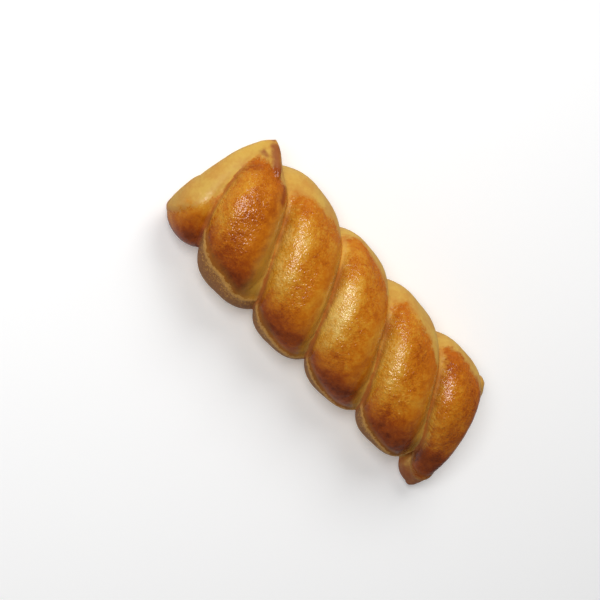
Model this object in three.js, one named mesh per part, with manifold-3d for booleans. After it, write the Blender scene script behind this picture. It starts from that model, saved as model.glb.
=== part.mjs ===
// A twisted dunking cookie: two strands of dough wound round each other in a right-handed twist, pinched
// together at the ends, baked lying on a tray. Millimetres, +Z up, X along the cookie, the flat
// underside on Z = 0 and the origin under the middle of its outline.
import * as THREE from "three";
import { mergeVertices } from "three/addons/utils/BufferGeometryUtils.js";
import Module from "manifold-3d";

// The crossings, where one strand lies over the other. They are counted along the cookie by q, from 0:
// the odd ones are strand A's and the even ones strand B's. x is the place of the crest, sway how far
// the cookie's middle strays sideways there and girth the strand's half thickness.
const CROSSINGS = [
  { x: -46.8, sway: -0.1, girth: 6.9 },
  { x: -29.7, sway: 0.5, girth: 7.9 },
  { x: -9.2, sway: -0.2, girth: 7.8 },
  { x: 9.3, sway: 0.1, girth: 7.7 },
  { x: 29.6, sway: 0.2, girth: 7.6 },
  { x: 48.2, sway: 0.8, girth: 7.8 },
];

// How far a strand's centre line swings from the cookie's middle: sideways at the two ends, up and down.
const REACH_FIRST = 10.6;
const REACH_LAST = 9.0;
const WAIST_HEIGHT = 9.6;
const CREST_RISE = 6.9;
const BELLY_DROP = 4.6;

// Where the strands' ends are drawn out to: the peak that both start from, the tail and the ear.
const PEAK = new THREE.Vector3(-37.1, 17.6, 14.3);
const TAIL = new THREE.Vector3(58.0, -16.0, 3.2);
const EAR = new THREE.Vector3(51.6, 15.8, 7.7);

// from and to are the q of a strand's two ends, phase its turn at q = 0. At each end, tip is the point
// it is drawn to over a length of draw, taper is the length over which it thins, and point is 0.5 for a
// round end and 1 for a sharp one. The lengths are in q.
const STRANDS = [
  {
    phase: -0.5,
    from: { q: 0.59, tip: PEAK, draw: 0.27, taper: 0.44, point: 0.72 },
    to: { q: 5.38, tip: TAIL, draw: 0.6, taper: 0.92, point: 0.94 },
  },
  {
    phase: 0.5,
    from: { q: 0.02, tip: PEAK, draw: 0.65, taper: 1.22, point: 0.8 },
    to: { q: 5.1, tip: EAR, draw: 0.37, taper: 0.54, point: 0.54 },
  },
];
const TIP_GIRTH = 0.4; // half thickness of a drawn-out tip
const SECTION_WIDTH = 1.21; // of a strand's section along the cookie, against its thickness
const SECTION_INNER = 1.33; // of a strand's section towards the cookie's middle, against its outer side
const SECTION_FULLNESS = 0.86; // 1 is an ellipse, and less fills out its corners
const SECTION_LEAN = 0.8; // how much a section keeps facing along the cookie, instead of along its strand
const TRAY_SPREAD = 0.1; // how much wider the dough lies where it meets the tray
const SECTION_SIDES = 36;
const SECTION_STEP = 2.0; // along a strand
const STRAND_PER_CROSSING = 30; // length of strand from one crossing to the next

// The pleats of dough that pinching left: the fin up the peak's side, the fold below it and the flap
// beside the tail.
const PLEATS = [
  { from: new THREE.Vector3(-36.4, 16.9, 14.6), to: new THREE.Vector3(-30.6, 10.6, 19.9), girth: 1.4 },
  { from: new THREE.Vector3(-36.6, 16.8, 14.2), to: new THREE.Vector3(-28.2, 10.6, 9.6), girth: 1.4 },
  { from: new THREE.Vector3(49.6, -10.4, 6.3), to: new THREE.Vector3(57.9, -15.7, 3.3), girth: 2.7 },
];

const TRAY = { length: 160, width: 80, depth: 30 };

// A smooth curve through one of the crossings' sizes, at any q.
function alongCrossings(size, q) {
  const last = CROSSINGS.length - 1;
  const i = THREE.MathUtils.clamp(Math.floor(q), 0, last - 1);
  const value = (k) => {
    if (k < 0) return 2 * CROSSINGS[0][size] - CROSSINGS[1][size];
    if (k > last) return 2 * CROSSINGS[last][size] - CROSSINGS[last - 1][size];
    return CROSSINGS[k][size];
  };
  const [before, start, end, after] = [value(i - 1), value(i), value(i + 1), value(i + 2)];
  const t = q - i;
  const bend = (2 * t - 3) * t * t;
  const slopes = ((t - 2) * t + 1) * t * (end - before) + (t - 1) * t * t * (after - start);
  return start + bend * (start - end) + slopes / 2;
}

// The direction from the cookie's middle to a strand at q.
function outwardAt(strand, q) {
  const angle = Math.PI * (q + strand.phase);
  return new THREE.Vector3(0, Math.cos(angle), Math.sin(angle));
}

// How much an end's tip draws the strand to itself: 1 at the tip and 0 past its draw.
function pullOf(distance, end) {
  return (1 - THREE.MathUtils.clamp(distance / end.draw, 0, 1)) ** 2;
}

// A strand's centre line at q: a flattened helix, drawn out to the tips.
function centreAt(strand, q) {
  const outward = outwardAt(strand, q);
  const reach = THREE.MathUtils.lerp(REACH_FIRST, REACH_LAST, q / (CROSSINGS.length - 1));
  const swing = outward.z > 0 ? CREST_RISE : BELLY_DROP;
  const centre = new THREE.Vector3(alongCrossings("x", q), alongCrossings("sway", q), WAIST_HEIGHT);
  centre.y += reach * outward.y;
  centre.z += swing * outward.z;
  centre.lerp(strand.from.tip, pullOf(q - strand.from.q, strand.from));
  centre.lerp(strand.to.tip, pullOf(strand.to.q - q, strand.to));
  return centre;
}

// 0 at an end and 1 from its taper on.
function thinning(distance, end) {
  const t = THREE.MathUtils.clamp(distance / end.taper, 0, 1);
  return (1 - (1 - t) ** 2) ** end.point;
}

// Half the strand's thickness at q.
function girthAt(strand, q) {
  const full = alongCrossings("girth", THREE.MathUtils.clamp(q, 0, CROSSINGS.length - 1));
  const thin = thinning(q - strand.from.q, strand.from) * thinning(strand.to.q - q, strand.to);
  return TIP_GIRTH + (full - TIP_GIRTH) * thin;
}

// A sine or cosine pushed out towards 1, which fills out the corners of a section.
function fuller(value) {
  return Math.sign(value) * Math.abs(value) ** SECTION_FULLNESS;
}

// A closed tube of changing thickness, from the mesh of a sphere whose poles become the tube's two ends.
// place, facing and girth are functions of t, from 0 to 1: the middle of a section, the direction of its
// outer side and its half thickness there. width and inner stretch the section sideways and on its inner
// side, and lean turns it to face along X.
function doughTube({ place, facing, girth, width, inner, lean, steps, sides }) {
  const geometry = new THREE.SphereGeometry(1, sides, steps);
  const position = geometry.getAttribute("position");
  const point = new THREE.Vector3();
  const nudge = 0.5 / steps;
  for (let i = 0; i < position.count; i++) {
    point.fromBufferAttribute(position, i);
    const t = Math.acos(THREE.MathUtils.clamp(point.y, -1, 1)) / Math.PI;
    const isPole = Math.hypot(point.x, point.z) < 1e-6;
    const turn = Math.atan2(point.z, point.x);
    const ahead = place(Math.min(t + nudge, 1)).sub(place(Math.max(t - nudge, 0))).normalize();
    ahead.x += lean;
    ahead.normalize();
    const outward = facing(t);
    outward.addScaledVector(ahead, -outward.dot(ahead)).normalize();
    const across = new THREE.Vector3().crossVectors(ahead, outward);
    const r = isPole ? 0 : girth(t);
    const spot = place(t);
    const out = fuller(Math.cos(turn));
    spot.addScaledVector(outward, r * out * (out < 0 ? inner : 1));
    spot.addScaledVector(across, r * width * fuller(Math.sin(turn)));
    spot.y *= 1 + TRAY_SPREAD * THREE.MathUtils.clamp(1 - spot.z / WAIST_HEIGHT, 0, 1) ** 2;
    position.setXYZ(i, spot.x, spot.y, spot.z);
  }
  return geometry;
}

function strandGeometry(strand) {
  const span = strand.to.q - strand.from.q;
  const qAt = (t) => strand.from.q + span * t;
  return doughTube({
    place: (t) => centreAt(strand, qAt(t)),
    facing: (t) => outwardAt(strand, qAt(t)),
    girth: (t) => girthAt(strand, qAt(t)),
    width: SECTION_WIDTH,
    inner: SECTION_INNER,
    lean: SECTION_LEAN,
    steps: Math.round((span * STRAND_PER_CROSSING) / SECTION_STEP),
    sides: SECTION_SIDES,
  });
}

function pleatGeometry(pleat) {
  return doughTube({
    place: (t) => pleat.from.clone().lerp(pleat.to, t),
    facing: () => new THREE.Vector3(0, 1, 0),
    girth: (t) => pleat.girth * Math.sqrt(Math.max(1 - (2 * t - 1) ** 2, 0)),
    width: 1,
    inner: 1,
    lean: 0,
    steps: 12,
    sides: 12,
  });
}

const wasm = await Module();
wasm.setup();

// A closed geometry as a solid, turned right side out where its faces point in.
function solidOf(geometry) {
  geometry.deleteAttribute("normal");
  geometry.deleteAttribute("uv");
  const merged = mergeVertices(geometry, 1e-4);
  const vertProperties = new Float32Array(merged.getAttribute("position").array);
  const corners = [...merged.index.array];
  const inwards = signedVolume(vertProperties, corners) < 0;
  const triVerts = new Uint32Array(inwards ? corners.reverse() : corners);
  return new wasm.Manifold(new wasm.Mesh({ numProp: 3, vertProperties, triVerts }));
}

function signedVolume(places, corners) {
  const [a, b, c] = [new THREE.Vector3(), new THREE.Vector3(), new THREE.Vector3()];
  let volume = 0;
  for (let i = 0; i < corners.length; i += 3) {
    a.fromArray(places, 3 * corners[i]);
    b.fromArray(places, 3 * corners[i + 1]);
    c.fromArray(places, 3 * corners[i + 2]);
    volume += a.dot(b.cross(c)) / 6;
  }
  return volume;
}

function geometryOf(solid) {
  const mesh = solid.getMesh();
  const geometry = new THREE.BufferGeometry();
  geometry.setAttribute("position", new THREE.BufferAttribute(new Float32Array(mesh.vertProperties), 3));
  geometry.setIndex(new THREE.BufferAttribute(new Uint32Array(mesh.triVerts), 1));
  return geometry;
}

const dough = [...STRANDS.map(strandGeometry), ...PLEATS.map(pleatGeometry)].map(solidOf);
const joined = dough.reduce((whole, piece) => whole.add(piece));
const tray = new THREE.BoxGeometry(TRAY.length, TRAY.width, TRAY.depth).translate(0, 0, -TRAY.depth / 2);
const twistGeometry = geometryOf(joined.subtract(solidOf(tray)));
twistGeometry.computeBoundingBox();
const middle = twistGeometry.boundingBox.getCenter(new THREE.Vector3());
twistGeometry.translate(-middle.x, -middle.y, 0);

const crust = new THREE.MeshStandardMaterial({ color: 0xb8741f, roughness: 0.4, metalness: 0 });
const twist = new THREE.Mesh(twistGeometry, crust);
twist.name = "twisted_cookie";
const cookie = new THREE.Group();
cookie.add(twist);

export default cookie;
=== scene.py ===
"""A twisted dunking cookie: two strands of dough wound round each other, brushed with egg and baked.

Sizes are given in millimetres, and MM turns them into the metres that the scene is in. X runs along the
cookie and +Z is up.
"""
import math

import bpy
import numpy as np
from mathutils import Matrix, Vector
from mathutils.bvhtree import BVHTree
from mathutils.kdtree import KDTree


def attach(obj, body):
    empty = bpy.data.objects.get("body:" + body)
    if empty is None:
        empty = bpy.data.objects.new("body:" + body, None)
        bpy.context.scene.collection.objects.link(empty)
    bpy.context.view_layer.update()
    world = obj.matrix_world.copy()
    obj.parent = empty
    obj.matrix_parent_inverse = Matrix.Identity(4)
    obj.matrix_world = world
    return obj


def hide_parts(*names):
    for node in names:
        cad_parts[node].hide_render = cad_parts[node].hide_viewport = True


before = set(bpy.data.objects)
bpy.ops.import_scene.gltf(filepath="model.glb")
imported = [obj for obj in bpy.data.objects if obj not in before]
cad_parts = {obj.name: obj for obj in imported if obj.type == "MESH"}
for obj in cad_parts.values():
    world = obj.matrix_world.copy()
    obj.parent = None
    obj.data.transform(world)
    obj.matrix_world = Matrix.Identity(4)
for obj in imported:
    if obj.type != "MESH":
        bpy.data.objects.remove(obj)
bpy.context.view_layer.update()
MM = 0.001
SEED = 7.0

# The twist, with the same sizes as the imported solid. A crossing is where one strand lies over the other.
# Crossings are counted along the cookie by q, each with the place of its crest, how far the cookie's middle
# strays sideways there and the strand's half thickness.
CREST_PLACES = [-46.8, -29.7, -9.2, 9.3, 29.6, 48.2]
CREST_SWAYS = [-0.1, 0.5, -0.2, 0.1, 0.2, 0.8]
CREST_GIRTHS = [6.9, 7.9, 7.8, 7.7, 7.6, 7.8]
LAST_CROSSING = len(CREST_PLACES) - 1

# How far a strand's middle swings from the cookie's middle: sideways at the two ends, up and down
REACH_FIRST, REACH_LAST = 10.6, 9.0
WAIST_HEIGHT, CREST_RISE, BELLY_DROP = 9.6, 6.9, 4.6

# Where the strands' ends are drawn out to
PEAK = (-37.1, 17.6, 14.3)
TAIL = (58.0, -16.0, 3.2)
EAR = (51.6, 15.8, 7.7)

# The strands. phase is a strand's turn at q = 0. At each end, tip is the point it is drawn to over a length
# of draw, taper is the length over which it thins, and point is 0.5 for a round end and 1 for a sharp one.
# The lengths are in q. TIP_GIRTH is half the thickness of a tip.
STRANDS = [
    {
        "phase": -0.5,
        "from": {"q": 0.59, "tip": PEAK, "draw": 0.27, "taper": 0.44, "point": 0.72},
        "to": {"q": 5.38, "tip": TAIL, "draw": 0.6, "taper": 0.92, "point": 0.94},
    },
    {
        "phase": 0.5,
        "from": {"q": 0.02, "tip": PEAK, "draw": 0.65, "taper": 1.22, "point": 0.8},
        "to": {"q": 5.1, "tip": EAR, "draw": 0.37, "taper": 0.54, "point": 0.54},
    },
]
TIP_GIRTH = 0.4

# A strand's section: its width against its thickness, its inner side's depth against its outer side's, how
# full its corners are, where 1 is an ellipse, and how much it keeps facing along the cookie
SECTION_WIDTH, SECTION_INNER, SECTION_FULLNESS, SECTION_LEAN = 1.21, 1.33, 0.86, 0.8

# Sections along a strand, points round each, how far to each side of it the strand's direction is measured,
# as a share of the strand, and how much wider the dough lies on the tray
SECTION_STEPS, SECTION_SIDES, STEP_AHEAD, TRAY_SPREAD = 300, 96, 0.004, 0.1

# The pleats that pinching left: the fin up the peak's side, the fold below it and the flap beside the tail
PLEATS = [
    {"from": (-37.3, 17.9, 14.2), "to": (-31.0, 10.8, 20.5), "girth": 1.3},
    {"from": (-36.6, 16.8, 14.2), "to": (-28.2, 10.6, 9.6), "girth": 1.4},
    {"from": (49.6, -10.4, 6.3), "to": (57.9, -15.7, 3.3), "girth": 2.7},
]
PLEAT_STEPS, PLEAT_SIDES = 40, 32

# From the twist's own axes to the part's frame, which is centred under the outline
FRAME_SHIFT = (-7.39, -0.17, 0.0)

# The skin: the voxels that fuse the dough, how their steps are smoothed away, the round of a crease and of
# the edge that lies on the tray
VOXEL, STRAND_VOXEL = 0.408, 0.6
SMOOTH_ROUNDS, SHRINK_BACK = 5, -0.52
CREASE_ROUNDS, CREASE_REACH, CREASE_SHARE = 9, 1.2, 0.5
FLANK_ROUNDS, BAKE_ROUNDS = 4, 2
TRAY_EDGE = 0.5

# Round the peak the crease is pinched shut
PINCH_REACH, PINCH_STRENGTH = 11.0, 3.0

# The egg wash, brushed on from above: where it ends on each lobe, in degrees round the cookie from the +Y
# side over the top, how much further it reaches on the lobe's -X flank than on its +X flank, and where it
# starts along X on the crescent at the cookie's first end, with the slope of that line. Its edge sways.
HALF_WIDTH, HALF_HEIGHT = 17.9, 15.0
WASH_FAR_ANGLES = [40, 44, 38, 32, 47, 36]
WASH_FAR_SLANTS = [0, 4, 0, 14, 15, 10]
WASH_NEAR_ANGLES = [235, 148, 160, 165, 159, 184]
WASH_NEAR_SLANTS = [0, -4, -5, -8, -6, 0]
WASH_START, WASH_START_SLOPE = -38.2, 0.35
MM_PER_DEGREE = 0.28
EDGE_SWAY_SIZE, EDGE_SWAY = 7.0, 1.4

# How brown each lobe is baked on top, from 0 to 1, how much browner on its near side and how much paler on
# its -X flank. The first lobe is also paler by its start.
LOBE_BAKE = [0.48, 0.58, 0.46, 0.44, 0.48, 0.6]
NEAR_BROWNING = [0.36, 0.34, 0.33, 0.4, 0.38, 0.32]
FLANK_PALENESS = [0.0, 0.2, 0.3, 0.34, 0.25, 0.16]
START_PALENESS, START_REACH = 0.45, 8.0

# How sandy each lobe's bare near side is, where the sandy colour is darker partly as painted shade, and the
# width of the pale band along its +X crease
LOBE_SAND = [0.0, 1.0, 1.0, 1.0, 1.0, 0.6]
BAND_WIDTHS = [0.1, 5.6, 3.6, 3.0, 3.4, 0.1]

# Parts of the way round the cookie over which things come or go, in degrees. Flanks run from -1 on a lobe's
# +X side to 1 on its -X side.
FAR_SHOULDER = (40.0, 65.0)
NEAR_SHOULDER = (100.0, 150.0)
NEAR_BROWNED = (105.0, 150.0)
NEAR_RIM = (110.0, 150.0)
NEAR_FOOT = (170.0, 205.0)
PALE_FLANK = (0.05, 0.65)
PALE_FROM, PALE_TO = (50.0, 75.0), (160.0, 120.0)

# Dough that baked dark, mostly at thin edges: up the fin, the pit beside it, the nick at the peak, below
# the peak, beside the first crossing and at the tail
SCORCHES = [
    {"from": (-36.0, 16.2, 16.6), "to": (-32.4, 12.4, 20.4), "radius": 1.5, "darkness": 1.0},
    {"from": (-37.7, 13.4, 16.9), "to": (-36.6, 13.2, 18.2), "radius": 1.1, "darkness": 0.65},
    {"from": (-37.3, 17.6, 14.8), "to": (-37.1, 17.2, 15.0), "radius": 0.7, "darkness": 0.8},
    {"from": (-37.9, 7.5, 19.0), "to": (-36.2, 9.4, 20.3), "radius": 2.2, "darkness": 0.45},
    {"from": (-27.7, 10.4, 19.7), "to": (-26.6, 7.4, 21.8), "radius": 1.3, "darkness": 0.9},
    {"from": (55.0, -15.6, 4.8), "to": (58.0, -16.0, 4.2), "radius": 5.2, "darkness": 1.0},
]

# The comb of pale streaks beside a crease: from streak to streak, along one and how uneven their ends are
COMB_PITCH, COMB_LENGTH, COMB_RAGGEDNESS = 0.8, 2.4, 5.0

# How rough the dough is where it is glossy with egg, where it is bare and down in a crease
GLOSSY_ROUGHNESS, BARE_ROUGHNESS, CREASE_ROUGHNESS = 0.23, 0.6, 0.95
SPECULAR_LEVEL = 0.75
BUMP_DEPTH = 0.1

# The lights: a big window high on the +Y side and a small lamp by the camera, each in a direction given by
# the camera's right, up and back
WINDOW = {"direction": (0.42, 0.57, 0.7), "distance": 700, "size": 380, "brightness": 0.5}
LAMP = {"direction": (-0.06, 0.14, 1.0), "distance": 420, "size": 165, "brightness": 0.48}

# The room's brightness, by how far up one looks in it, for what it lights and for what is mirrored in it
HORIZON_BRIGHTNESS, CEILING_BRIGHTNESS, CEILING_FROM = 0.6, 0.05, (0.1, 0.85)
MIRRORED_FLOOR, MIRRORED_ROOM, MIRRORED_FROM = 0.26, 0.05, (-0.8, -0.2)
FLOOR = {"reach": 600, "whiteness": 0.95, "roughness": 0.9, "glow": 0.12}

# The camera looks down on the cookie. Azimuth 0 looks along +Y.
CAMERA = {
    "target": (-9.76, -4.88, 11.0),
    "distance": 412.8,
    "azimuth": 74.0,
    "elevation": 71.1,
    "roll": 119.4,
    "lens": 98.4,
    "sensor": 36.0,
}


def colour(red, green, blue):
    """A colour given as sRGB, from 0 to 255, in the linear values that materials take."""
    values = [value / 255 for value in (red, green, blue)]
    return tuple(v / 12.92 if v <= 0.04045 else ((v + 0.055) / 1.055) ** 2.4 for v in values) + (1.0,)


# Baked egg wash, from the palest to the darkest
WASHED_TONES = [
    (0.0, colour(228, 186, 98)),
    (0.25, colour(208, 143, 38)),
    (0.5, colour(190, 106, 8)),
    (0.75, colour(154, 68, 2)),
    (1.0, colour(106, 38, 2)),
]
FRINGE = colour(188, 96, 8)
CREASE = colour(166, 90, 12)
KHAKI = colour(198, 152, 58)
COMB = colour(224, 180, 76)
SCORCHED = colour(142, 62, 16)
PALE_DOUGH = colour(208, 165, 66)
BARE_DOUGH = colour(198, 140, 48)
# Sandy dough on the near side, its colour darker partly as painted shade
SANDY_DOUGH_AND_PAINTED_SHADE = colour(144, 82, 10)
PALE_CRUMB = colour(204, 146, 48)
LIP = colour(206, 154, 74)
LIP_SHADE = colour(160, 104, 34)
UNDERSIDE = colour(176, 118, 56)
UNDERSIDE_DARK = colour(142, 84, 34)


def along_crossings(values, q):
    """A smooth curve through the crossings' values, at each q."""
    ends = np.concatenate([[2 * values[0] - values[1]], values, [2 * values[-1] - values[-2]]])
    i = np.clip(np.floor(q).astype(int), 0, LAST_CROSSING - 1)
    before, start, end, after = ends[i], ends[i + 1], ends[i + 2], ends[i + 3]
    t = q - i
    bend = (2 * t - 3) * t * t
    slopes = ((t - 2) * t + 1) * t * (end - before) + (t - 1) * t * t * (after - start)
    return start + bend * (start - end) + slopes / 2


def unit(vectors):
    return vectors / np.linalg.norm(vectors, axis=1, keepdims=True)


def ends_of(strand, q):
    """The strand's two ends, each with how far along the strand q is from it."""
    return [(strand["from"], q - strand["from"]["q"]), (strand["to"], strand["to"]["q"] - q)]


def centre_line(strand, q):
    """Places along a strand's middle: a flattened helix, drawn out to the tips."""
    angle = np.pi * (q + strand["phase"])
    reach = REACH_FIRST + (REACH_LAST - REACH_FIRST) * q / LAST_CROSSING
    swing = np.where(np.sin(angle) > 0, CREST_RISE, BELLY_DROP)
    sideways = along_crossings(CREST_SWAYS, q) + reach * np.cos(angle)
    upwards = WAIST_HEIGHT + swing * np.sin(angle)
    places = np.stack([along_crossings(CREST_PLACES, q), sideways, upwards], 1)
    for end, distance in ends_of(strand, q):
        pull = (1 - np.clip(distance / end["draw"], 0, 1))[:, None] ** 2
        places = places * (1 - pull) + np.array(end["tip"]) * pull
    return places


def thinning(strand, q):
    """0 at the strand's ends and 1 past their tapers."""
    thin = np.ones_like(q)
    for end, distance in ends_of(strand, q):
        t = np.clip(distance / end["taper"], 0, 1)
        thin *= (1 - (1 - t) ** 2) ** end["point"]
    return thin


def strand_sections(strand):
    """The middle, outer direction, sideways direction and half thickness of each section of a strand."""
    first, last = strand["from"]["q"], strand["to"]["q"]
    q = np.linspace(first, last, SECTION_STEPS)
    nudge = (last - first) * STEP_AHEAD
    before = centre_line(strand, np.maximum(q - nudge, first))
    after = centre_line(strand, np.minimum(q + nudge, last))
    ahead = unit(unit(after - before) + np.array([SECTION_LEAN, 0, 0]))
    angle = np.pi * (q + strand["phase"])
    outward = np.stack([np.zeros_like(q), np.cos(angle), np.sin(angle)], 1)
    outward = unit(outward - ahead * np.sum(outward * ahead, axis=1, keepdims=True))
    full = along_crossings(CREST_GIRTHS, np.clip(q, 0, LAST_CROSSING))
    girth = TIP_GIRTH + (full - TIP_GIRTH) * thinning(strand, q)
    girth[[0, -1]] = 0
    return {
        "place": centre_line(strand, q) * MM,
        "outward": outward,
        "across": np.cross(ahead, outward),
        "girth": girth * MM,
        "q": q,
    }


def pleat_sections(pleat):
    """Sections of a straight pleat of dough, thickest at its middle."""
    t = np.linspace(0, 1, PLEAT_STEPS)
    top, foot = np.array(pleat["from"]), np.array(pleat["to"])
    ahead = (foot - top) / np.linalg.norm(foot - top)
    outward = np.array([0, 1, 0]) - ahead * ahead[1]
    outward /= np.linalg.norm(outward)
    girth = pleat["girth"] * np.sqrt(1 - (2 * t - 1) ** 2)
    return {
        "place": (top + np.outer(t, foot - top)) * MM,
        "outward": np.tile(outward, (PLEAT_STEPS, 1)),
        "across": np.tile(np.cross(ahead, outward), (PLEAT_STEPS, 1)),
        "girth": girth * MM,
        "q": np.zeros(PLEAT_STEPS),
    }


class Tree:
    """A node tree being written, with short calls for its nodes and links."""

    def __init__(self, tree):
        self.tree = tree

    def node(self, kind, settings=None, **inputs):
        """A new node, with its inputs given by name, an underscore standing for a space."""
        made = self.tree.nodes.new(kind)
        for key, value in (settings or {}).items():
            setattr(made, key, value)
        for key, value in inputs.items():
            self.feed(made.inputs[key.replace("_", " ")], value)
        return made

    def feed(self, socket, value):
        if isinstance(value, bpy.types.NodeSocket):
            self.tree.links.new(value, socket)
        else:
            socket.default_value = value

    def math(self, operation, *values):
        made = self.tree.nodes.new("ShaderNodeMath")
        made.operation = operation
        for socket, value in zip(made.inputs, values):
            self.feed(socket, value)
        return made.outputs[0]

    def vector(self, operation, a, b):
        made = self.tree.nodes.new("ShaderNodeVectorMath")
        made.operation = operation
        self.feed(made.inputs[0], a)
        self.feed(made.inputs["Scale" if operation == "SCALE" else 1], b)
        return made.outputs["Vector"]

    def total(self, *values):
        result = values[0]
        for value in values[1:]:
            result = self.math("ADD", result, value)
        return result

    def product(self, *values):
        result = values[0]
        for value in values[1:]:
            result = self.math("MULTIPLY", result, value)
        return result

    def noise(self, place, scale, detail, distortion, seed):
        made = self.tree.nodes.new("ShaderNodeTexNoise")
        made.noise_dimensions = "4D"
        settings = {"Vector": place, "W": seed, "Scale": scale, "Detail": detail, "Distortion": distortion}
        for key, value in settings.items():
            self.feed(made.inputs[key], value)
        return made.outputs[0]

    def mix_values(self, share, low, high):
        return self.node("ShaderNodeMix", Factor=share, A=low, B=high).outputs["Result"]

    def blend(self, share, low, high):
        """A colour between two others."""
        made = self.node("ShaderNodeMix", {"data_type": "RGBA"})
        sockets = [socket for socket in made.inputs if socket.enabled]
        for socket, value in zip(sockets, (share, low, high)):
            self.feed(socket, value)
        return next(socket for socket in made.outputs if socket.enabled)

    def gradient(self, value, stops):
        """A colour picked from stops, each a place from 0 to 1 and a colour."""
        made = self.node("ShaderNodeValToRGB", Fac=value)
        elements = made.color_ramp.elements
        while len(elements) < len(stops):
            elements.new(0.5)
        for element, (place, shade) in zip(elements, stops):
            element.position = place
            element.color = shade
        return made.outputs["Color"]

    def ramp(self, value, low, high, to_low=0.0, to_high=1.0):
        """A smooth step from to_low at low to to_high at high."""
        made = self.node("ShaderNodeMapRange", {"interpolation_type": "SMOOTHSTEP"})
        for socket, number in zip(made.inputs, (value, low, high, to_low, to_high)):
            self.feed(socket, number)
        return made.outputs["Result"]


FLOAT = "NodeSocketFloat"
INTEGER = "NodeSocketInt"
GEOMETRY = "NodeSocketGeometry"
MATERIAL = "NodeSocketMaterial"


def new_geometry_group(name, inputs, output):
    """An empty Geometry Nodes group with one output. Its inputs are given as (name, type, value)."""
    group = bpy.data.node_groups.new(name, "GeometryNodeTree")
    for label, socket_type, *value in inputs:
        socket = group.interface.new_socket(label, in_out="INPUT", socket_type=socket_type)
        if value:
            socket.default_value = value[0]
    group.interface.new_socket(output, in_out="OUTPUT", socket_type=GEOMETRY)
    build = Tree(group)
    return group, build, build.node("NodeGroupInput").outputs


def raised(build, geometry, rise):
    """The geometry with its points moved outwards."""
    normal = build.node("GeometryNodeInputNormal").outputs[0]
    offset = build.vector("SCALE", normal, rise)
    return build.node("GeometryNodeSetPosition", Geometry=geometry, Offset=offset).outputs["Geometry"]


def finish_group(build, geometry, material, output):
    """Makes the geometry real, gives it its material and puts it out."""
    real = build.node("GeometryNodeRealizeInstances", Geometry=geometry).outputs["Geometry"]
    made = build.node("GeometryNodeSetMaterial", Geometry=real, Material=material).outputs["Geometry"]
    build.node("NodeGroupOutput", **{output: made})


def wrapped_skin(build, given):
    """A grid wrapped round the sections, a row to each, that keeps its q and its turn round the strand."""
    place = build.node("GeometryNodeInputPosition").outputs[0]
    spot = build.node("ShaderNodeSeparateXYZ", Vector=place).outputs
    rows = build.node("GeometryNodeAttributeDomainSize", Geometry=given["Sections"]).outputs["Point Count"]
    columns = build.math("ADD", given["Sides"], 1)
    skin = build.node("GeometryNodeMeshGrid", Vertices_X=rows, Vertices_Y=columns).outputs["Mesh"]
    row = build.product(build.math("ADD", spot["X"], 0.5), build.math("SUBTRACT", rows, 1))
    row = build.math("ROUND", row)
    turn = build.product(spot["Y"], 2 * math.pi)

    def sampled(kind, value):
        settings = {"data_type": kind, "clamp": True}
        inputs = {"Geometry": given["Sections"], "Value": value, "Index": row}
        return build.node("GeometryNodeSampleIndex", settings, **inputs).outputs["Value"]

    def stored(kind, name):
        made = build.node("GeometryNodeInputNamedAttribute", {"data_type": kind}, Name=name)
        return sampled(kind, made.outputs["Attribute"])

    def keeping(geometry, name, value):
        settings = {"data_type": "FLOAT", "domain": "POINT"}
        inputs = {"Geometry": geometry, "Name": name, "Value": value}
        return build.node("GeometryNodeStoreNamedAttribute", settings, **inputs).outputs["Geometry"]

    def fuller(value):
        """A sine or cosine pushed out towards 1, which fills out the corners of a section."""
        size = build.math("POWER", build.math("ABSOLUTE", value), given["Fullness"])
        return build.product(build.math("SIGN", value), size)

    girth = stored("FLOAT", "girth")
    out = fuller(build.math("COSINE", turn))
    depth = build.mix_values(build.math("LESS_THAN", out, 0.0), 1.0, given["Inner depth"])
    sideways = build.product(girth, fuller(build.math("SINE", turn)), given["Width"])
    offset = build.vector(
        "ADD",
        build.vector("SCALE", stored("FLOAT_VECTOR", "outward"), build.product(girth, out, depth)),
        build.vector("SCALE", stored("FLOAT_VECTOR", "across"), sideways),
    )
    skin = keeping(skin, "q", stored("FLOAT", "q"))
    skin = keeping(skin, "turn", turn)
    wrapped = build.vector("ADD", sampled("FLOAT_VECTOR", place), offset)
    skin = build.node("GeometryNodeSetPosition", Geometry=skin, Position=wrapped).outputs["Geometry"]
    return build.node("GeometryNodeMergeByDistance", Geometry=skin, Distance=1e-6).outputs["Geometry"]


def spread_on_tray(build, given, skin):
    """The skin, wider the closer it lies to the tray."""
    place = build.node("GeometryNodeInputPosition").outputs[0]
    height = build.node("ShaderNodeSeparateXYZ", Vector=place).outputs["Z"]
    low = build.math("MINIMUM", build.math("DIVIDE", height, given["Waist height"]), 1.0)
    spread = build.math("POWER", build.math("SUBTRACT", 1.0, low), 2.0)
    spread = build.product(build.math("MINIMUM", spread, 1.0), given["Tray spread"])
    wider = build.node("ShaderNodeCombineXYZ", X=1.0, Y=build.math("ADD", spread, 1.0), Z=1.0).outputs[0]
    lying = build.vector("MULTIPLY", place, wider)
    return build.node("GeometryNodeSetPosition", Geometry=skin, Position=lying).outputs["Geometry"]


def made_lumpy(build, given, skin):
    """The skin, uneven as hand-rolled dough is."""
    place = build.node("GeometryNodeInputPosition").outputs[0]
    lumps = build.noise(place, build.math("DIVIDE", 1.0, given["Lump size"]), 1.0, 0.0, given["Seed"])
    swing = build.math("SUBTRACT", lumps, 0.5)
    return raised(build, skin, build.product(swing, build.product(given["Lump height"], 2.0)))


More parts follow.
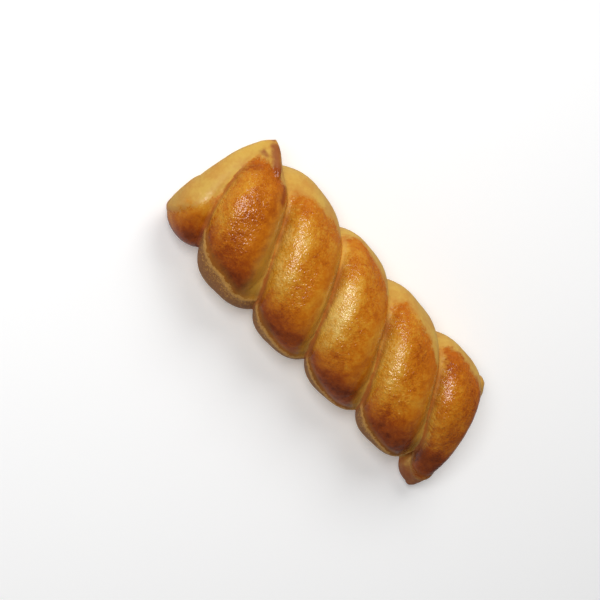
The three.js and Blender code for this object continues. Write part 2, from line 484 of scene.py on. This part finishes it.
def rolled_strand_tree():
    """Geometry Nodes that wrap a skin round a row of sections, lying on the tray."""
    inputs = [
        ("Sections", GEOMETRY),
        ("Sides", INTEGER, SECTION_SIDES),
        ("Width", FLOAT, SECTION_WIDTH),
        ("Inner depth", FLOAT, SECTION_INNER),
        ("Fullness", FLOAT, SECTION_FULLNESS),
        ("Tray spread", FLOAT, TRAY_SPREAD),
        ("Waist height", FLOAT, WAIST_HEIGHT * MM),
        ("Lump size", FLOAT, 14 * MM),
        ("Lump height", FLOAT, 0.5 * MM),
        ("Seed", FLOAT, SEED),
        ("Dough", MATERIAL),
    ]
    group, build, given = new_geometry_group("Rolled strand", inputs, "Skin")
    skin = spread_on_tray(build, given, wrapped_skin(build, given))
    finish_group(build, made_lumpy(build, given, skin), given["Dough"], "Skin")
    return group


def grown_mesh(name, mesh, group, values):
    """The plain mesh that a Geometry Nodes group makes of a mesh, with its inputs set by name."""
    holder = bpy.data.objects.new(name, mesh)
    bpy.context.scene.collection.objects.link(holder)
    modifier = holder.modifiers.new(name, "NODES")
    modifier.node_group = group
    for item in group.interface.items_tree:
        if item.item_type == "SOCKET" and item.in_out == "INPUT" and item.name in values:
            modifier[item.identifier] = values[item.name]
    grown = bpy.data.meshes.new_from_object(holder.evaluated_get(bpy.context.evaluated_depsgraph_get()))
    bpy.data.objects.remove(holder)
    return grown


def sections_mesh(sections):
    """A row of loose points, one for each section, that carries the section's sizes."""
    mesh = bpy.data.meshes.new("sections")
    mesh.from_pydata(sections["place"].tolist(), [], [])
    for key in ("outward", "across"):
        layer = mesh.attributes.new(key, "FLOAT_VECTOR", "POINT")
        layer.data.foreach_set("vector", sections[key].astype(np.float32).ravel())
    for key in ("girth", "q"):
        store(mesh, key, sections[key])
    return mesh


def store(mesh, name, values):
    layer = mesh.attributes.new(name, "FLOAT", "POINT")
    layer.data.foreach_set("value", np.asarray(values, np.float32))


def vertex_array(mesh):
    places = np.empty(len(mesh.vertices) * 3, np.float32)
    mesh.vertices.foreach_get("co", places)
    return places.reshape(-1, 3).astype(float)


def edge_array(mesh):
    pairs = np.empty(len(mesh.edges) * 2, np.int32)
    mesh.edges.foreach_get("vertices", pairs)
    return pairs.reshape(-1, 2)


def joined_mesh(name, meshes):
    """One mesh with the faces of several."""
    verts, faces, start = [], [], 0
    for mesh in meshes:
        verts.extend(vertex_array(mesh).tolist())
        faces.extend([[i + start for i in face.vertices] for face in mesh.polygons])
        start = len(verts)
    joined = bpy.data.meshes.new(name)
    joined.from_pydata(verts, [], faces)
    return joined


def fused_mesh(name, meshes, voxel):
    """Skins baked into one body."""
    holder = bpy.data.objects.new(name, joined_mesh(name, meshes))
    bpy.context.scene.collection.objects.link(holder)
    remesh = holder.modifiers.new("fuse", "REMESH")
    remesh.mode = "VOXEL"
    remesh.voxel_size = voxel * MM
    fused = bpy.data.meshes.new_from_object(holder.evaluated_get(bpy.context.evaluated_depsgraph_get()))
    bpy.data.objects.remove(holder)
    return fused


def smoothed(values, pairs, rounds, share=0.5):
    """Values at vertices, each moved towards its neighbours' mean."""
    count = np.bincount(pairs.ravel(), minlength=len(values))
    count = np.maximum(count, 1).reshape((-1,) + (1,) * (values.ndim - 1))
    for _ in range(rounds):
        total = np.zeros_like(values)
        np.add.at(total, pairs[:, 0], values[pairs[:, 1]])
        np.add.at(total, pairs[:, 1], values[pairs[:, 0]])
        values = values + share * (total / count - values)
    return values


def evened_out(body):
    """The body's places with the voxels' steps smoothed away and its ridges and tips kept."""
    places, pairs = vertex_array(body), edge_array(body)
    for _ in range(SMOOTH_ROUNDS):
        places = smoothed(places, pairs, 1)
        places = smoothed(places, pairs, 1, SHRINK_BACK)
    return places, pairs


def step(values, low, high):
    """A smooth step from 0 at low to 1 at high."""
    t = np.clip((values - low) / (high - low), 0, 1)
    return t * t * (3 - 2 * t)


def bell(distance, reach):
    """1 at no distance, falling to nothing past the reach."""
    return np.exp(-((distance / reach) ** 2))


def height_over(mesh, places):
    """How far each place lies outside a closed body, below 0 inside it."""
    faces = [list(face.vertices) for face in mesh.polygons]
    tree = BVHTree.FromPolygons(vertex_array(mesh).tolist(), faces)
    heights = np.empty(len(places))
    for i, place in enumerate(places):
        spot, normal, _, distance = tree.find_nearest(place)
        heights[i] = math.copysign(distance, (Vector(place) - spot).dot(normal))
    return heights


def nearest_on(skin, places):
    """The turn round its strand and the q of the skin's vertex nearest to each place."""
    kd = KDTree(len(skin.vertices))
    for i, place in enumerate(vertex_array(skin)):
        kd.insert(place, i)
    kd.balance()
    found = [kd.find(place)[1] for place in places]
    values = []
    for name in ("turn", "q"):
        layer = np.empty(len(skin.vertices), np.float32)
        skin.attributes[name].data.foreach_get("value", layer)
        values.append(layer[found])
    return values


def side_of_strand(turn, share, pairs):
    """1 on a strand's -X flank and -1 on its +X flank, evened out over the places that are the strand's."""
    weighted = smoothed(np.sin(turn) * share, pairs, FLANK_ROUNDS)
    return weighted / np.maximum(smoothed(share, pairs, FLANK_ROUNDS), 1e-6)


def lobe_of(number, q):
    """The crossing that a place on a strand belongs to: odd on the first strand and even on the second."""
    first = 1 - number
    return np.clip(2 * np.round((q - first) / 2) + first, first, first + 4)


def read_strands(skins, places, pairs):
    """How far each place is from the crease between the strands, its flank and its lobe."""
    over = [height_over(fused_mesh("strand", [skin], STRAND_VOXEL), places) for skin in skins]
    owned = (over[0] < over[1]).astype(float)
    flank, lobe = np.zeros(len(places)), np.zeros(len(places))
    for number, (skin, share) in enumerate(zip(skins, (owned, 1 - owned))):
        turn, q = nearest_on(skin, places)
        flank += side_of_strand(turn, share, pairs) * share
        lobe += lobe_of(number, q) * share
    return np.abs(over[0] - over[1]) / MM, flank, lobe.astype(int)


def angle_round(places):
    """The angle round the cookie of each place: 0 on the +Y side, 90 on top and 180 on the -Y side."""
    up = (places[:, 2] / MM - WAIST_HEIGHT) / HALF_HEIGHT
    around = np.degrees(np.arctan2(up, places[:, 1] / MM / HALF_WIDTH))
    return np.where(around < -90, around + 360, around)


def scorching(places):
    """1 on a scorched edge, falling to 0 around it."""
    dark = np.zeros(len(places))
    for scorch in SCORCHES:
        start, end = np.array(scorch["from"]) * MM, np.array(scorch["to"]) * MM
        share = np.clip((places - start) @ (end - start) / np.sum((end - start) ** 2), 0, 1)
        distance = np.linalg.norm(places - start - np.outer(share, end - start), axis=1)
        dark = np.maximum(dark, scorch["darkness"] * bell(distance / MM, scorch["radius"]))
    return dark


def wash_reach(places, lobe, flank, around):
    """How far inside the egg wash's edge each place lies. Below 0 the dough is bare."""
    far_edge = np.take(WASH_FAR_ANGLES, lobe) - np.take(WASH_FAR_SLANTS, lobe) * flank
    near_edge = np.take(WASH_NEAR_ANGLES, lobe) + np.take(WASH_NEAR_SLANTS, lobe) * flank
    reach = np.minimum(around - far_edge, near_edge - around) * MM_PER_DEGREE
    start = places[:, 0] / MM - WASH_START - WASH_START_SLOPE * places[:, 1] / MM
    return np.where(lobe == 0, np.minimum(reach, start), reach)


def browning(lobe, flank, around, wash):
    """How brown each place is baked, from 0 to 1."""
    by_start = np.where(lobe == 0, START_PALENESS * np.clip(1 - wash / START_REACH, 0, 1), 0)
    on_flank = step(flank, *PALE_FLANK) * step(around, *PALE_TO) * step(around, *PALE_FROM)
    bake = np.take(LOBE_BAKE, lobe) + np.take(NEAR_BROWNING, lobe) * step(around, *NEAR_BROWNED)
    return bake - np.take(FLANK_PALENESS, lobe) * on_flank - by_start


def laid_on_tray(places):
    """The places in the part's frame, with the underside flat on Z = 0."""
    height = (places[:, 2] + np.sqrt(places[:, 2] ** 2 + (TRAY_EDGE * MM) ** 2)) / 2
    laid = np.stack([places[:, 0], places[:, 1], height], 1) + np.array(FRAME_SHIFT) * MM
    laid[:, 2] -= laid[:, 2].min()
    return laid


def dough_skins():
    """The skins of the two strands and of the pleats."""
    roll = rolled_strand_tree()
    strands = [
        grown_mesh("strand_skin", sections_mesh(strand_sections(strand)), roll, {"Seed": SEED + number})
        for number, strand in enumerate(STRANDS)
    ]
    plain = {"Sides": PLEAT_SIDES, "Width": 1.0, "Inner depth": 1.0, "Tray spread": 0.0, "Lump height": 0.0}
    pleats = [
        grown_mesh("pleat_skin", sections_mesh(pleat_sections(pleat)), roll, plain)
        for pleat in PLEATS
    ]
    return strands, pleats


def cookie_body():
    """The cookie's smooth body, with what the crust needs to know of each place stored on it."""
    strands, pleats = dough_skins()
    body = fused_mesh("cookie_body", strands + pleats, VOXEL)
    places, pairs = evened_out(body)
    seam, flank, lobe = read_strands(strands, places, pairs)
    share = CREASE_SHARE * bell(seam, CREASE_REACH)
    places = smoothed(places, pairs, CREASE_ROUNDS, share[:, None])
    from_peak = np.linalg.norm(places / MM - np.array(PEAK), axis=1)
    seam += PINCH_STRENGTH * bell(from_peak, PINCH_REACH)
    around = angle_round(places)
    wash = wash_reach(places, lobe, flank, around)
    store(body, "seam", seam)
    store(body, "flank", flank)
    store(body, "around", around)
    store(body, "wash", wash)
    store(body, "bake", smoothed(browning(lobe, flank, around, wash), pairs, BAKE_ROUNDS))
    store(body, "band", seam / np.take(BAND_WIDTHS, lobe))
    store(body, "sand", np.take(LOBE_SAND, lobe))
    store(body, "scorch", scorching(places))
    body.vertices.foreach_set("co", laid_on_tray(places).astype(np.float32).ravel())
    body.update()
    return body


def crust_relief_tree():
    """Geometry Nodes that press in the creases and raise the wash's wrinkles and lip and the bare dough."""
    inputs = [
        ("Body", GEOMETRY),
        ("Crease depth", FLOAT, 0.1 * MM),
        ("Crease width", FLOAT, 0.9),
        ("Wrinkle size", FLOAT, 1.7 * MM),
        ("Wrinkle height", FLOAT, 0.07 * MM),
        ("Blister size", FLOAT, 4.5 * MM),
        ("Blister height", FLOAT, 0.16 * MM),
        ("Edge sway size", FLOAT, EDGE_SWAY_SIZE * MM),
        ("Edge sway", FLOAT, EDGE_SWAY),
        ("Lip height", FLOAT, 0.4 * MM),
        ("Lip width", FLOAT, 0.7),
        ("Rim height", FLOAT, 0.45 * MM),
        ("Grain size", FLOAT, 1.1 * MM),
        ("Grain height", FLOAT, 0.08 * MM),
        ("Tray height", FLOAT, 0.6 * MM),
        ("Seed", FLOAT, SEED),
        ("Crust", MATERIAL),
    ]
    group, build, given = new_geometry_group("Crust relief", inputs, "Cookie")
    place = build.node("GeometryNodeInputPosition").outputs[0]

    def stored(name):
        return build.node("GeometryNodeInputNamedAttribute", {"data_type": "FLOAT"}, Name=name).outputs[0]

    def bumps(size, height, detail, distortion, seed):
        scale = build.math("DIVIDE", 1.0, given[size])
        swing = build.noise(place, scale, detail, distortion, build.math("ADD", given["Seed"], seed))
        return build.product(build.math("SUBTRACT", swing, 0.5), 2.0, given[height])

    def hump(value, width):
        """1 where the value is 0, falling to nothing over a width on both sides."""
        ratio = build.math("DIVIDE", value, width)
        return build.math("EXPONENT", build.product(ratio, ratio, -1.0))

    edge = build.total(stored("wash"), bumps("Edge sway size", "Edge sway", 1.0, 0.0, 1.0))
    washed = build.ramp(edge, -0.4, 0.6)
    near = build.ramp(stored("around"), *NEAR_RIM)
    lip = build.product(hump(edge, given["Lip width"]), near, given["Lip height"])
    rim = build.product(build.ramp(edge, 0.2, -0.8), near, given["Rim height"])
    crease = build.product(hump(stored("seam"), given["Crease width"]), given["Crease depth"])
    on_wash = build.total(
        bumps("Wrinkle size", "Wrinkle height", 3.0, 1.2, 0.0),
        bumps("Blister size", "Blister height", 1.0, 0.4, 3.0),
    )
    grain = bumps("Grain size", "Grain height", 2.0, 0.0, 5.0)
    rise = build.math("SUBTRACT", build.total(lip, rim), crease)
    rise = build.total(rise, build.product(on_wash, washed))
    rise = build.total(rise, build.product(build.math("SUBTRACT", 1.0, washed), grain))
    height = build.node("ShaderNodeSeparateXYZ", Vector=place).outputs["Z"]
    off_tray = build.ramp(height, given["Tray height"], build.product(given["Tray height"], 3.0))
    cookie = raised(build, given["Body"], build.product(rise, off_tray))
    finish_group(build, cookie, given["Crust"], "Cookie")
    return group


class CrustTree(Tree):
    """The crust's shader being written, with what it knows of each place on the cookie."""

    def __init__(self, tree):
        super().__init__(tree)
        self.place = self.node("ShaderNodeTexCoord").outputs["Object"]
        self.spot = self.node("ShaderNodeSeparateXYZ", Vector=self.place).outputs
        self.seam = self.stored("seam")
        self.flank = self.stored("flank")
        self.around = self.stored("around")
        self.top = self.ramp(self.around, *FAR_SHOULDER)
        self.near = self.product(
            self.ramp(self.around, *NEAR_SHOULDER),
            self.ramp(self.spot["Y"], -1 * MM, -8 * MM),
        )
        # The share of sandy dough on the near side, whose colour is partly painted shade
        self.sandy = self.product(
            self.near,
            self.stored("sand"),
            self.ramp(self.around, *NEAR_FOOT, 1.0, 0.3),
        )
        self.edge = self.wash_edge()
        softness = self.ramp(self.sandy, 0.5, 0.9, 1.0, 0.4)
        self.washed = self.ramp(self.math("DIVIDE", self.edge, softness), -1.5, 1.3)
        self.thick = self.product(
            self.ramp(self.flank, -0.6, 0.0),
            self.ramp(self.around, 150.0, 115.0),
            self.ramp(self.around, 25.0, 50.0),
        )

    def stored(self, name):
        """A value that the body keeps for each place."""
        return self.node("ShaderNodeAttribute", {"attribute_name": name}).outputs["Fac"]

    def mottle(self, size, strength, detail=2, distortion=0, seed=0):
        """Noise that swings about 0, for spots of a size in millimetres."""
        swing = self.noise(self.place, 1 / (size * MM), detail, distortion, SEED + seed)
        return self.product(self.math("SUBTRACT", swing, 0.5), 2 * strength)

    def wash_edge(self):
        """How far inside the egg wash's swaying, spotted edge a place lies."""
        spots = self.total(
            self.mottle(2.0, 2.2, distortion=0.8, seed=2),
            self.mottle(0.8, 1.6, distortion=1, seed=16),
        )
        spots = self.product(spots, self.ramp(self.sandy, 0.0, 0.8, 1.0, 0.4))
        sway = self.mottle(EDGE_SWAY_SIZE, EDGE_SWAY, detail=1, seed=1)
        return self.total(self.stored("wash"), sway, spots)


def wash_tone(crust):
    """How brown the egg wash is, from 0 to 1, in patches, spots and specks."""
    specks = crust.mottle(0.8, 0.26, detail=1, distortion=1.5, seed=5)
    return crust.total(
        crust.stored("bake"),
        crust.mottle(7, 0.22, detail=1, distortion=0.3, seed=3),
        crust.mottle(2.4, 0.28, detail=3, distortion=0.8, seed=4),
        crust.product(specks, crust.ramp(crust.thick, 0.0, 1.0, 0.5, 1.0)),
    )


def pale_band(crust):
    """The share of the pale band along a lobe's +X crease."""
    uneven = crust.total(crust.stored("band"), crust.mottle(3, 0.25, seed=6))
    return crust.product(crust.ramp(crust.flank, -0.1, -0.5), crust.ramp(uneven, 1.4, 0.2), crust.top, 0.9)


def comb_teeth(crust):
    """The share of the pale streaks that run down a lobe's -X flank into the crease."""
    along_crease = crust.product(crust.around, MM_PER_DEGREE / COMB_PITCH)
    from_crease = crust.product(crust.seam, 1 / COMB_LENGTH)
    streaks = crust.node("ShaderNodeCombineXYZ", X=along_crease, Y=from_crease).outputs[0]
    comb = crust.product(crust.noise(streaks, 1.0, 2.0, 0.4, SEED + 20), COMB_RAGGEDNESS)
    return crust.product(
        crust.ramp(crust.flank, 0.3, 0.6),
        crust.ramp(crust.seam, 0.2, 0.6),
        crust.ramp(crust.total(crust.seam, comb), 5.6, 3.6),
        crust.ramp(crust.around, 150.0, 120.0),
        0.6,
    )


def orange_fringe(crust):
    """The share of the orange spots just inside the wash's far edge."""
    return crust.product(
        crust.ramp(crust.edge, 5.0, 2.0),
        crust.ramp(crust.edge, 0.0, 1.5),
        crust.ramp(crust.near, 0.5, 0.0),
        crust.ramp(crust.mottle(1.6, 0.5, distortion=1, seed=21), -0.2, 0.2, 0.15, 0.75),
    )


def washed_colour(crust):
    """Baked egg wash, with what shows in it beside the creases and along its edges."""
    surface = crust.gradient(wash_tone(crust), WASHED_TONES)
    surface = crust.blend(pale_band(crust), surface, KHAKI)
    surface = crust.blend(comb_teeth(crust), surface, COMB)
    surface = crust.blend(orange_fringe(crust), surface, FRINGE)
    above_lip = crust.product(crust.ramp(crust.edge, 3.6, 0.4), crust.sandy, 0.6)
    return crust.blend(above_lip, surface, LIP_SHADE)


def bare_colour(crust):
    """Dough that no wash reached: pale on the far side, sandy and speckled on the near side.

    The sandy colour is darker partly as painted shade, and painted shade darkens it further away from the
    wash's lip, where the dough curves under.
    """
    patches = crust.total(crust.mottle(5, 0.5, detail=3, seed=7), crust.mottle(0.8, 0.22, seed=22))
    pale = crust.blend(crust.ramp(patches, -0.2, 0.2), PALE_DOUGH, BARE_DOUGH)
    # Crumb speckles, and painted shade that darkens the sand away from the wash's lip, where the dough
    # curves under
    crumbs_and_shade = crust.total(crust.mottle(0.5, 1.3, seed=17), crust.ramp(crust.edge, -4.5, -0.6, -0.3, 0.0))
    sand = crust.blend(crust.ramp(crumbs_and_shade, -0.25, 0.4), SANDY_DOUGH_AND_PAINTED_SHADE, PALE_CRUMB)
    return crust.blend(crust.product(crust.sandy, 0.95), pale, sand)


def wash_lip(crust):
    """The share of the pale line where the wash ends on the near side."""
    return crust.product(
        crust.ramp(crust.edge, -1.0, -0.2),
        crust.ramp(crust.edge, 0.6, 0.0),
        crust.ramp(crust.sandy, 0.5, 0.9),
        0.6,
    )


def crease_line(crust):
    """The share of the brown line in a crease, broader at its far end on a lobe's -X flank."""
    broad = crust.ramp(crust.around, 70.0, 105.0, 3.8, 2.0)
    width = crust.ramp(crust.flank, -0.2, 0.2, 0.9, broad)
    ragged = crust.total(crust.seam, crust.mottle(2.5, 0.9, seed=18))
    return crust.product(
        crust.ramp(crust.math("DIVIDE", ragged, width), 1.0, 0.2),
        crust.ramp(crust.mottle(4, 0.5, seed=8), -0.3, 0.1, 0.45, 0.95),
        crust.top,
    )


def scorched_share(crust):
    scorch = crust.total(crust.stored("scorch"), crust.mottle(1.6, 0.4, distortion=0.8, seed=19))
    return crust.product(crust.ramp(scorch, 0.1, 0.9), 0.85)


def underside_share(crust):
    height = crust.total(crust.spot["Z"], crust.mottle(3, 0.4 * MM, seed=9))
    return crust.ramp(height, 2.2 * MM, 0.4 * MM)


def underside_colour(crust):
    patches = crust.mottle(6, 0.5, detail=3, distortion=0.5, seed=10)
    return crust.blend(crust.ramp(patches, -0.2, 0.2), UNDERSIDE, UNDERSIDE_DARK)


def crust_normal(crust):
    """Fine wrinkles in the egg wash and grains on the bare dough."""
    wrinkles = crust.total(
        crust.mottle(0.95, 0.75, detail=0, distortion=0.6, seed=11),
        crust.mottle(0.42, 0.8, detail=0, distortion=0.4, seed=12),
    )
    wrinkles = crust.product(
        wrinkles,
        crust.ramp(crust.thick, 0.0, 1.0, 0.3, 1.0),
        crust.ramp(crust.seam, 0.3, 1.2),
    )
    grains = crust.total(
        crust.mottle(0.8, 0.3, detail=3, seed=13),
        crust.mottle(0.4, 0.3, detail=1, seed=14),
    )
    grains = crust.product(grains, crust.ramp(crust.near, 0.0, 1.0, 0.5, 1.3))
    relief = crust.mix_values(crust.washed, grains, wrinkles)
    bump = crust.node("ShaderNodeBump", Strength=1.0, Distance=BUMP_DEPTH * MM, Height=relief)
    return bump.outputs["Normal"]


def crust_roughness(crust):
    """Glossy on the egg wash, and matt on bare dough and in the creases."""
    dull = crust.mix_values(crust.ramp(crust.seam, 1.6, 0.4), BARE_ROUGHNESS, CREASE_ROUGHNESS)
    gloss = crust.product(crust.washed, crust.ramp(crust.seam, 0.6, 2.0))
    return crust.total(crust.mix_values(gloss, dull, GLOSSY_ROUGHNESS), crust.mottle(2, 0.04, seed=15))


def crust_material():
    """Egg-washed, baked dough: glossy amber on top, golden beside the creases, bare where no wash went."""
    material = bpy.data.materials.new("egg_washed_crust")
    material.use_nodes = True
    material.node_tree.nodes.clear()
    crust = CrustTree(material.node_tree)
    surface = crust.blend(crust.washed, bare_colour(crust), washed_colour(crust))
    surface = crust.blend(wash_lip(crust), surface, LIP)
    surface = crust.blend(crease_line(crust), surface, CREASE)
    surface = crust.blend(scorched_share(crust), surface, SCORCHED)
    surface = crust.blend(underside_share(crust), surface, underside_colour(crust))
    shader = crust.node(
        "ShaderNodeBsdfPrincipled",
        Base_Color=surface,
        Roughness=crust_roughness(crust),
        Specular_IOR_Level=SPECULAR_LEVEL,
        Normal=crust_normal(crust),
    )
    crust.node("ShaderNodeOutputMaterial", Surface=shader.outputs["BSDF"])
    return material


def cookie_piece():
    """The dressed cookie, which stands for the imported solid."""
    crust = grown_mesh("crust", cookie_body(), crust_relief_tree(), {"Crust": crust_material()})
    crust.polygons.foreach_set("use_smooth", [True] * len(crust.polygons))
    piece = bpy.data.objects.new("twisted_cookie_crust", crust)
    bpy.context.scene.collection.objects.link(piece)
    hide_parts("twisted_cookie")
    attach(piece, "root")


def floor():
    """A plain pale floor, which isn't part of the cookie."""
    reach, white = FLOOR["reach"] * MM, FLOOR["whiteness"]
    corners = [(-reach, -reach, 0), (reach, -reach, 0), (reach, reach, 0), (-reach, reach, 0)]
    mesh = bpy.data.meshes.new("floor")
    mesh.from_pydata(corners, [], [(0, 1, 2, 3)])
    plane = bpy.data.objects.new("floor", mesh)
    bpy.context.scene.collection.objects.link(plane)
    plane.visible_glossy = False
    paper = bpy.data.materials.new("paper_floor")
    paper.use_nodes = True
    sockets = paper.node_tree.nodes["Principled BSDF"].inputs
    sockets["Base Color"].default_value = (white, white, white, 1)
    sockets["Roughness"].default_value = FLOOR["roughness"]
    sockets["Emission Color"].default_value = (1, 1, 1, 1)
    sockets["Emission Strength"].default_value = FLOOR["glow"]
    mesh.materials.append(paper)


def camera_axes():
    """The camera's right, up and forward directions."""
    azimuth, elevation, roll = (math.radians(CAMERA[key]) for key in ("azimuth", "elevation", "roll"))
    level = Vector((math.cos(azimuth), -math.sin(azimuth), 0))
    ahead = Vector((math.sin(azimuth), math.cos(azimuth), 0))
    forward = ahead * math.cos(elevation) - Vector((0, 0, math.sin(elevation)))
    right = level * math.cos(roll) + level.cross(forward) * math.sin(roll)
    return right, right.cross(forward), forward


def camera():
    right, up, forward = camera_axes()
    data = bpy.data.cameras.new("camera")
    data.lens = CAMERA["lens"]
    data.sensor_width = CAMERA["sensor"]
    placed = bpy.data.objects.new("camera", data)
    bpy.context.scene.collection.objects.link(placed)
    rotation = Matrix((right, up, -forward)).transposed().to_4x4()
    place = (Vector(CAMERA["target"]) - forward * CAMERA["distance"]) * MM
    placed.matrix_world = Matrix.Translation(place) @ rotation
    bpy.context.scene.camera = placed


def area_light(name, light, glossy):
    """A soft light aimed at the cookie's middle. Its brightness is that of white paper facing it there."""
    right, up, forward = camera_axes()
    across, above, back = light["direction"]
    place = (right * across + up * above - forward * back) * light["distance"] * MM
    data = bpy.data.lights.new(name, "AREA")
    data.size = light["size"] * MM
    data.energy = light["brightness"] * (math.pi * place.length) ** 2
    lamp = bpy.data.objects.new(name, data)
    bpy.context.scene.collection.objects.link(lamp)
    lamp.location = place
    lamp.rotation_mode = "QUATERNION"
    lamp.rotation_quaternion = (-place).to_track_quat("-Z", "Y")
    lamp.visible_glossy = glossy


def room():
    """A studio that is brighter towards the horizon, with darker reflections than what it lights."""
    world = bpy.data.worlds.new("studio")
    world.use_nodes = True
    build = Tree(world.node_tree)
    direction = build.node("ShaderNodeTexCoord").outputs["Generated"]
    upwards = build.node("ShaderNodeSeparateXYZ", Vector=direction).outputs["Z"]
    mirrored = build.node("ShaderNodeLightPath").outputs["Is Glossy Ray"]
    lit = build.ramp(upwards, *CEILING_FROM, HORIZON_BRIGHTNESS, CEILING_BRIGHTNESS)
    shown = build.ramp(upwards, *MIRRORED_FROM, MIRRORED_FLOOR, MIRRORED_ROOM)
    sky = world.node_tree.nodes["Background"]
    sky.inputs["Color"].default_value = (1, 1, 1, 1)
    build.feed(sky.inputs["Strength"], build.mix_values(mirrored, lit, shown))
    bpy.context.scene.world = world


camera()
area_light("window", WINDOW, glossy=False)
area_light("lamp", LAMP, glossy=True)
room()
floor()
cookie_piece()
bpy.context.scene.view_settings.view_transform = "Standard"
